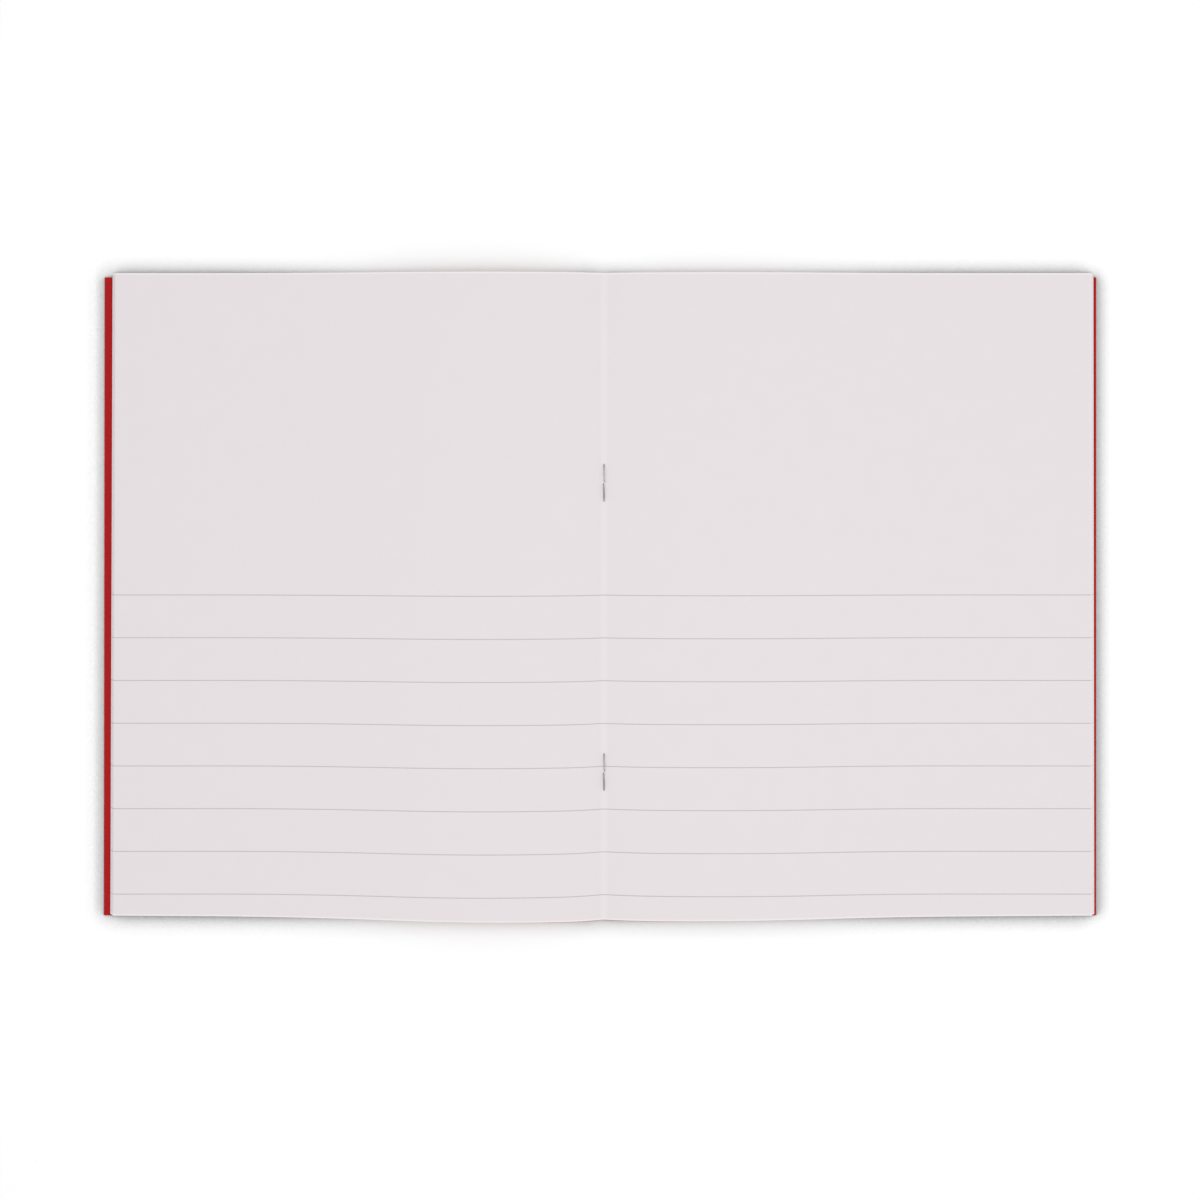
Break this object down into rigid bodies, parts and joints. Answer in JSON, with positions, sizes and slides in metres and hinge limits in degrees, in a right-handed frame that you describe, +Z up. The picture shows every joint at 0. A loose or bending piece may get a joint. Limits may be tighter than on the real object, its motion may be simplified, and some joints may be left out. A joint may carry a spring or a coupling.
{
  "type": "stapled exercise book",
  "caption": "Saddle-stapled exercise book lying open at its centre spread, with half-ruled paper leaves that turn on the fold and a red card cover that closes.",
  "frame": {"origin": "on the table under the fold, midway between head and tail", "axes": "+X across the spread towards the right-hand page, +Y towards the head of the page, +Z up"},
  "size_m": [0.3546, 0.2308, 0.0074],
  "materials": {
    "page_paper": "uncoated white paper",
    "cover_card": "dyed red card",
    "staple_wire": "bright drawn steel wire"
  },
  "bodies": {
    "back": {"back_cover": "cover_card", "upper_staple": "staple_wire", "lower_staple": "staple_wire"},
    "front": {"front_cover": "cover_card"},
    "left_leaf_01": {"left_leaf_01": "page_paper"},
    "left_leaf_02": {"left_leaf_02": "page_paper"},
    "left_leaf_03": {"left_leaf_03": "page_paper"},
    "left_leaf_04": {"left_leaf_04": "page_paper"},
    "left_leaf_05": {"left_leaf_05": "page_paper"},
    "left_leaf_06": {"left_leaf_06": "page_paper"},
    "left_leaf_07": {"left_leaf_07": "page_paper"},
    "left_leaf_08": {"left_leaf_08": "page_paper"},
    "left_leaf_09": {"left_leaf_09": "page_paper"},
    "left_leaf_10": {"left_leaf_10": "page_paper"},
    "left_leaf_11": {"left_leaf_11": "page_paper"},
    "left_leaf_12": {"left_leaf_12": "page_paper"},
    "right_leaf_01": {"right_leaf_01": "page_paper"},
    "right_leaf_02": {"right_leaf_02": "page_paper"},
    "right_leaf_03": {"right_leaf_03": "page_paper"},
    "right_leaf_04": {"right_leaf_04": "page_paper"},
    "right_leaf_05": {"right_leaf_05": "page_paper"},
    "right_leaf_06": {"right_leaf_06": "page_paper"},
    "right_leaf_07": {"right_leaf_07": "page_paper"},
    "right_leaf_08": {"right_leaf_08": "page_paper"},
    "right_leaf_09": {"right_leaf_09": "page_paper"},
    "right_leaf_10": {"right_leaf_10": "page_paper"},
    "right_leaf_11": {"right_leaf_11": "page_paper"},
    "right_leaf_12": {"right_leaf_12": "page_paper"}
  },
  "joints": [
    {"name": "front_cover_turn", "type": "hinge", "parent": "back", "child": "front", "pos_m": [0, 0, 0.007], "axis": [0, -1, 0], "range_deg": [-179.99, 0]},
    {"name": "left_leaf_12_turn", "type": "hinge", "parent": "front", "child": "left_leaf_12", "pos_m": [0, 0, 0.007], "axis": [0, 1, 0], "range_deg": [0, 179.99]},
    {"name": "left_leaf_11_turn", "type": "hinge", "parent": "left_leaf_12", "child": "left_leaf_11", "pos_m": [0, 0, 0.007], "axis": [0, 1, 0], "range_deg": [0, 179.99]},
    {"name": "left_leaf_10_turn", "type": "hinge", "parent": "left_leaf_11", "child": "left_leaf_10", "pos_m": [0, 0, 0.007], "axis": [0, 1, 0], "range_deg": [0, 179.99]},
    {"name": "left_leaf_09_turn", "type": "hinge", "parent": "left_leaf_10", "child": "left_leaf_09", "pos_m": [0, 0, 0.007], "axis": [0, 1, 0], "range_deg": [0, 179.99]},
    {"name": "left_leaf_08_turn", "type": "hinge", "parent": "left_leaf_09", "child": "left_leaf_08", "pos_m": [0, 0, 0.007], "axis": [0, 1, 0], "range_deg": [0, 179.99]},
    {"name": "left_leaf_07_turn", "type": "hinge", "parent": "left_leaf_08", "child": "left_leaf_07", "pos_m": [0, 0, 0.007], "axis": [0, 1, 0], "range_deg": [0, 179.99]},
    {"name": "left_leaf_06_turn", "type": "hinge", "parent": "left_leaf_07", "child": "left_leaf_06", "pos_m": [0, 0, 0.007], "axis": [0, 1, 0], "range_deg": [0, 179.99]},
    {"name": "left_leaf_05_turn", "type": "hinge", "parent": "left_leaf_06", "child": "left_leaf_05", "pos_m": [0, 0, 0.007], "axis": [0, 1, 0], "range_deg": [0, 179.99]},
    {"name": "left_leaf_04_turn", "type": "hinge", "parent": "left_leaf_05", "child": "left_leaf_04", "pos_m": [0, 0, 0.007], "axis": [0, 1, 0], "range_deg": [0, 179.99]},
    {"name": "left_leaf_03_turn", "type": "hinge", "parent": "left_leaf_04", "child": "left_leaf_03", "pos_m": [0, 0, 0.007], "axis": [0, 1, 0], "range_deg": [0, 179.99]},
    {"name": "left_leaf_02_turn", "type": "hinge", "parent": "left_leaf_03", "child": "left_leaf_02", "pos_m": [0, 0, 0.007], "axis": [0, 1, 0], "range_deg": [0, 179.99]},
    {"name": "left_leaf_01_turn", "type": "hinge", "parent": "left_leaf_02", "child": "left_leaf_01", "pos_m": [0, 0, 0.007], "axis": [0, 1, 0], "range_deg": [0, 179.99]},
    {"name": "right_leaf_12_turn", "type": "hinge", "parent": "back", "child": "right_leaf_12", "pos_m": [0, 0, 0.007], "axis": [0, -1, 0], "range_deg": [0, 179.99]},
    {"name": "right_leaf_11_turn", "type": "hinge", "parent": "right_leaf_12", "child": "right_leaf_11", "pos_m": [0, 0, 0.007], "axis": [0, -1, 0], "range_deg": [0, 179.99]},
    {"name": "right_leaf_10_turn", "type": "hinge", "parent": "right_leaf_11", "child": "right_leaf_10", "pos_m": [0, 0, 0.007], "axis": [0, -1, 0], "range_deg": [0, 179.99]},
    {"name": "right_leaf_09_turn", "type": "hinge", "parent": "right_leaf_10", "child": "right_leaf_09", "pos_m": [0, 0, 0.007], "axis": [0, -1, 0], "range_deg": [0, 179.99]},
    {"name": "right_leaf_08_turn", "type": "hinge", "parent": "right_leaf_09", "child": "right_leaf_08", "pos_m": [0, 0, 0.007], "axis": [0, -1, 0], "range_deg": [0, 179.99]},
    {"name": "right_leaf_07_turn", "type": "hinge", "parent": "right_leaf_08", "child": "right_leaf_07", "pos_m": [0, 0, 0.007], "axis": [0, -1, 0], "range_deg": [0, 179.99]},
    {"name": "right_leaf_06_turn", "type": "hinge", "parent": "right_leaf_07", "child": "right_leaf_06", "pos_m": [0, 0, 0.007], "axis": [0, -1, 0], "range_deg": [0, 179.99]},
    {"name": "right_leaf_05_turn", "type": "hinge", "parent": "right_leaf_06", "child": "right_leaf_05", "pos_m": [0, 0, 0.007], "axis": [0, -1, 0], "range_deg": [0, 179.99]},
    {"name": "right_leaf_04_turn", "type": "hinge", "parent": "right_leaf_05", "child": "right_leaf_04", "pos_m": [0, 0, 0.007], "axis": [0, -1, 0], "range_deg": [0, 179.99]},
    {"name": "right_leaf_03_turn", "type": "hinge", "parent": "right_leaf_04", "child": "right_leaf_03", "pos_m": [0, 0, 0.007], "axis": [0, -1, 0], "range_deg": [0, 179.99]},
    {"name": "right_leaf_02_turn", "type": "hinge", "parent": "right_leaf_03", "child": "right_leaf_02", "pos_m": [0, 0, 0.007], "axis": [0, -1, 0], "range_deg": [0, 179.99]},
    {"name": "right_leaf_01_turn", "type": "hinge", "parent": "right_leaf_02", "child": "right_leaf_01", "pos_m": [0, 0, 0.007], "axis": [0, -1, 0], "range_deg": [0, 179.99]}
  ]
}
